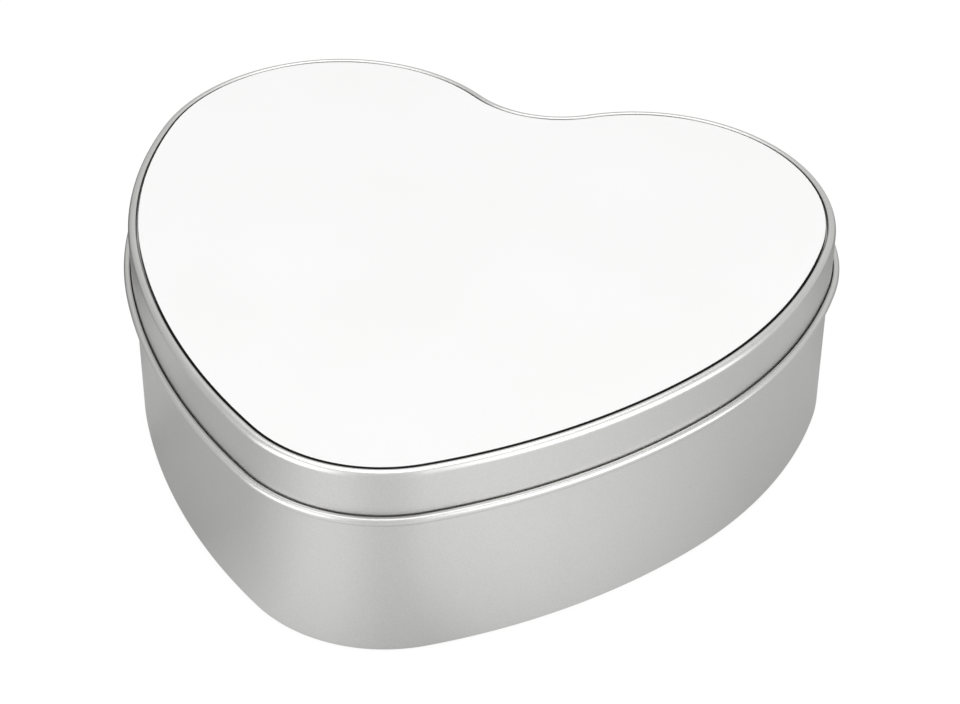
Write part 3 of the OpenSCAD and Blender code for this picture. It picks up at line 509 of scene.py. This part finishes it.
def tin_body():
    """The drawn wall with its rolled hem, the floor, and the well pressed up for the key."""
    bm = bmesh.new()
    floor_top, floor_under = sweep(bm, body_section())
    upper_roof, upper_foot = well_wall(bm, SHEET, 0)
    lower_roof, lower_foot = well_wall(bm, 0, SHEET)
    upper_holes, lower_holes = (
        [circle_ring(bm, at, radius, z, count) for at, radius, count in WELL_HOLES]
        for z in (WELL_H, WELL_H - SHEET)
    )
    for low_ring, high_ring in zip(lower_holes, upper_holes):
        bridge(bm, low_ring, high_ring)
    flat_fill(bm, upper_roof, upper_holes, True)
    flat_fill(bm, lower_roof, lower_holes, False)
    flat_fill(bm, floor_top, [upper_foot], True)
    flat_fill(bm, floor_under, [lower_foot], False)
    finished("tin", bm, "tinplate", "tin", "tin_body")


lid_shell()
lid_panel()
panel_adhesive()
tin_body()


# ---- Studio: floor, light and camera, in metres ----

# The floor's side, and how far it lies under the tin so that the two don't share a face
FLOOR_SIZE, FLOOR_DROP = 6.0, 0.00002
# The floor's paper, and how bright it is where the camera meets it
FLOOR_PAPER, FLOOR_WHITE = 0.88, 1.06
# Share of the floor's look that is plain light, for the camera and for reflections; the rest is lit paper
WHITE_SHARE = 0.85
# Painted light and painted shade in the floor's glow, which only reflections see, as (degrees round the tin
# from its tip towards +X, brightness):
# a painted darker patch in front of the camera between two painted bright ones, and painted dark beyond each
# side. Worked out from tones measured in the reference photograph, then corrected against renders and
# rounded, save for the levels from 150 degrees on either way, which were chosen so that the tin looks well
# from behind
LIGHT_ROUND = [
    (-180, 0.85), (-150, 0.8), (-128, 0.25), (-112, 0), (-102, 0.05), (-93, 0.4), (-85, 0.6), (-76, 0.6),
    (-68, 0.5), (-60, 0.55), (-38, 0.6), (-24, 0.8), (-12, 1), (-2, 1), (10, 0.8), (17, 0.8), (28, 1),
    (40, 1.05), (52, 1), (66, 0.9), (90, 0.7), (120, 0.6), (130, 0.4), (144, 0.15), (160, 0.7), (180, 0.85),
]
# The ramp holds shares of this brightness
LIGHT_TOP = 1.1
# Painted shade: the floor's glow looks darker in the metal close to the tin, within this distance and down to
# this share
SHADE_REACH, SHADE_SHARE, SHADE_SAMPLES = 0.03, 0.6, 4
# Brightness of the air: as light on the object, and as the metal sees it to the left and to the right
AIR, AIR_LEFT, AIR_RIGHT = 0.62, 0.85, 1.05
# The lamp over the tin: place, width, length, brightness and turn
OVERHEAD = (Vector((-0.057, 0.12, 0.9)), 0.75, 0.74, 1.9, 17.7)
# The two lamps beside the camera: name, degrees round the tin as above, width and brightness
SIDE_LAMPS = (("side_left", -36, 0.56, 1.35), ("side_right", 74, 0.6, 1.45))
# Their distance from the tin, their height over the floor, and their length
SIDE_REACH, SIDE_RISE, SIDE_LENGTH = 0.6, 0.35, 0.7
# The camera: degrees round the tin, elevation, roll, distance from its target in the floor, and lens in mm
CAMERA_TURN, CAMERA_RISE, CAMERA_ROLL = 17.735, 37.887, 0.504
CAMERA_TARGET, CAMERA_DISTANCE, CAMERA_LENS = Vector((-0.001336, 0.025635, 0)), 0.524547, 101.517
SENSOR_WIDTH, CLIP_START = 36, 0.01


def seen_by(tree, rays):
    """1 for any of the named kinds of ray, else 0."""
    path = tree.nodes.new("ShaderNodeLightPath")
    seen = path.outputs[rays[0]]
    for ray in rays[1:]:
        seen = maths(tree, "MAXIMUM", seen, path.outputs[ray])
    return seen


def mixed(tree, share, first, second):
    """A shader that turns from first to second as share goes from 0 to 1."""
    mix = tree.nodes.new("ShaderNodeMixShader")
    tree.links.new(share, mix.inputs["Fac"])
    tree.links.new(first, mix.inputs[1])
    tree.links.new(second, mix.inputs[2])
    return mix.outputs["Shader"]


def light_round(tree):
    """Painted light and painted shade: the floor's glow in the metal, from the direction of each place seen
    from the tin, darkened close to the tin.
    """
    place = axis_parts(tree, "Object")
    turn = maths(tree, "ARCTAN2", place["X"], maths(tree, "MULTIPLY", place["Y"], -1))
    # Painted light and painted shade: this ramp sets the floor's glow round the tin as reflections see it.
    ramp = tree.nodes.new("ShaderNodeValToRGB")
    tree.links.new(mapped(tree, turn, 0, 1, at=(-math.pi, math.pi)), ramp.inputs["Fac"])
    stops = ramp.color_ramp.elements
    for degrees, _ in LIGHT_ROUND[1:-1]:
        stops.new((degrees + 180) / 360)
    for stop, (_, level) in zip(stops, LIGHT_ROUND):
        stop.color = (*[level / LIGHT_TOP] * 3, 1)
    # Painted shade: ambient occlusion darkens the floor's glow near the tin.
    near = tree.nodes.new("ShaderNodeAmbientOcclusion")
    near.samples = SHADE_SAMPLES
    near.inputs["Distance"].default_value = SHADE_REACH
    shade = mapped(tree, near.outputs["AO"], SHADE_SHARE * LIGHT_TOP, LIGHT_TOP)
    return maths(tree, "MULTIPLY", ramp.outputs["Color"], shade)


def floor():
    """White paper that keeps the tin's shadow; the camera meets it white, the metal with its painted light
    and painted shade.
    """
    half = FLOOR_SIZE / 2
    mesh = bpy.data.meshes.new("floor")
    corners = [(-half, -half, 0), (half, -half, 0), (half, half, 0), (-half, half, 0)]
    mesh.from_pydata(corners, [], [(0, 1, 2, 3)])
    plane = bpy.data.objects.new("floor", mesh)
    bpy.context.scene.collection.objects.link(plane)
    plane.location.z = -FLOOR_DROP
    material = bpy.data.materials.new("floor")
    material.use_nodes = True
    tree = material.node_tree
    tree.nodes.clear()
    paper = tree.nodes.new("ShaderNodeBsdfDiffuse")
    paper.inputs["Color"].default_value = (FLOOR_PAPER, FLOOR_PAPER, FLOOR_PAPER, 1)
    level = tree.nodes.new("ShaderNodeMix")
    level.inputs["B"].default_value = FLOOR_WHITE
    tree.links.new(seen_by(tree, ["Is Camera Ray"]), level.inputs["Factor"])
    tree.links.new(light_round(tree), level.inputs["A"])
    # This glow is white for the camera and carries the painted light and painted shade that reflections see.
    white = tree.nodes.new("ShaderNodeEmission")
    tree.links.new(level.outputs["Result"], white.inputs["Strength"])
    direct = seen_by(tree, ["Is Camera Ray", "Is Glossy Ray", "Is Transmission Ray"])
    share = maths(tree, "MULTIPLY", direct, WHITE_SHARE)
    result = mixed(tree, share, paper.outputs["BSDF"], white.outputs["Emission"])
    tree.links.new(result, tree.nodes.new("ShaderNodeOutputMaterial").inputs["Surface"])
    mesh.materials.append(material)


def air(tree, level):
    """Background light of one brightness, given as a number or an output."""
    made = tree.nodes.new("ShaderNodeBackground")
    if isinstance(level, bpy.types.NodeSocket):
        tree.links.new(level, made.inputs["Strength"])
    else:
        made.inputs["Strength"].default_value = level
    return made.outputs["Background"]


def surroundings():
    """Even light from all round; the camera meets white, the metal a room that is lighter to the right."""
    world = bpy.data.worlds.new("studio")
    bpy.context.scene.world = world
    world.use_nodes = True
    tree = world.node_tree
    tree.nodes.clear()
    room = mapped(tree, axis_parts(tree, "Generated")["X"], AIR_LEFT, AIR_RIGHT, at=(-1, 1))
    reflected = seen_by(tree, ["Is Glossy Ray", "Is Transmission Ray"])
    unseen = mixed(tree, reflected, air(tree, AIR), air(tree, room))
    result = mixed(tree, seen_by(tree, ["Is Camera Ray"]), unseen, air(tree, 1))
    tree.links.new(result, tree.nodes.new("ShaderNodeOutputWorld").inputs["Surface"])


def softbox(name, at, aim, width, length, glow, turn=0):
    """A lamp of the given width and length; glow is its brightness, where 1 is white."""
    data = bpy.data.lights.new(name, "AREA")
    data.shape = "RECTANGLE"
    data.size, data.size_y = width, length
    data.energy = glow * math.pi * width * length
    lamp = bpy.data.objects.new(name, data)
    bpy.context.scene.collection.objects.link(lamp)
    facing = (aim - at).to_track_quat("-Z", "Y").to_matrix().to_4x4()
    lamp.matrix_world = Matrix.Translation(at) @ Matrix.Rotation(math.radians(turn), 4, "Z") @ facing


def lamps():
    """One lamp overhead, and one on each side of the camera that faces the tin."""
    at, width, length, glow, turn = OVERHEAD
    softbox("overhead", at, Vector((at.x, at.y, 0)), width, length, glow, turn)
    for name, turn, width, glow in SIDE_LAMPS:
        side = polar((0, 0), SIDE_REACH, turn - 90)
        softbox(name, Vector((*side, SIDE_RISE)), Vector((0, 0, SIDE_RISE)), width, SIDE_LENGTH, glow)


def camera():
    """Stands where the reference view was taken from."""
    azimuth, elevation, roll = (math.radians(v) for v in (CAMERA_TURN, CAMERA_RISE, CAMERA_ROLL))
    back = Vector((
        math.sin(azimuth) * math.cos(elevation),
        -math.cos(azimuth) * math.cos(elevation),
        math.sin(elevation),
    ))
    right = (-back).cross(Vector((0, 0, 1))).normalized()
    up = back.cross(right)
    rolled_right = right * math.cos(roll) + up * math.sin(roll)
    rolled_up = up * math.cos(roll) - right * math.sin(roll)
    data = bpy.data.cameras.new("camera")
    data.lens = CAMERA_LENS
    data.sensor_width = SENSOR_WIDTH
    data.clip_start = CLIP_START
    cam = bpy.data.objects.new("camera", data)
    bpy.context.scene.collection.objects.link(cam)
    turn = Matrix((rolled_right, rolled_up, back)).transposed().to_4x4()
    cam.matrix_world = Matrix.Translation(CAMERA_TARGET + CAMERA_DISTANCE * back) @ turn
    bpy.context.scene.camera = cam


floor()
surroundings()
lamps()
camera()
bpy.context.scene.view_settings.view_transform = "Standard"
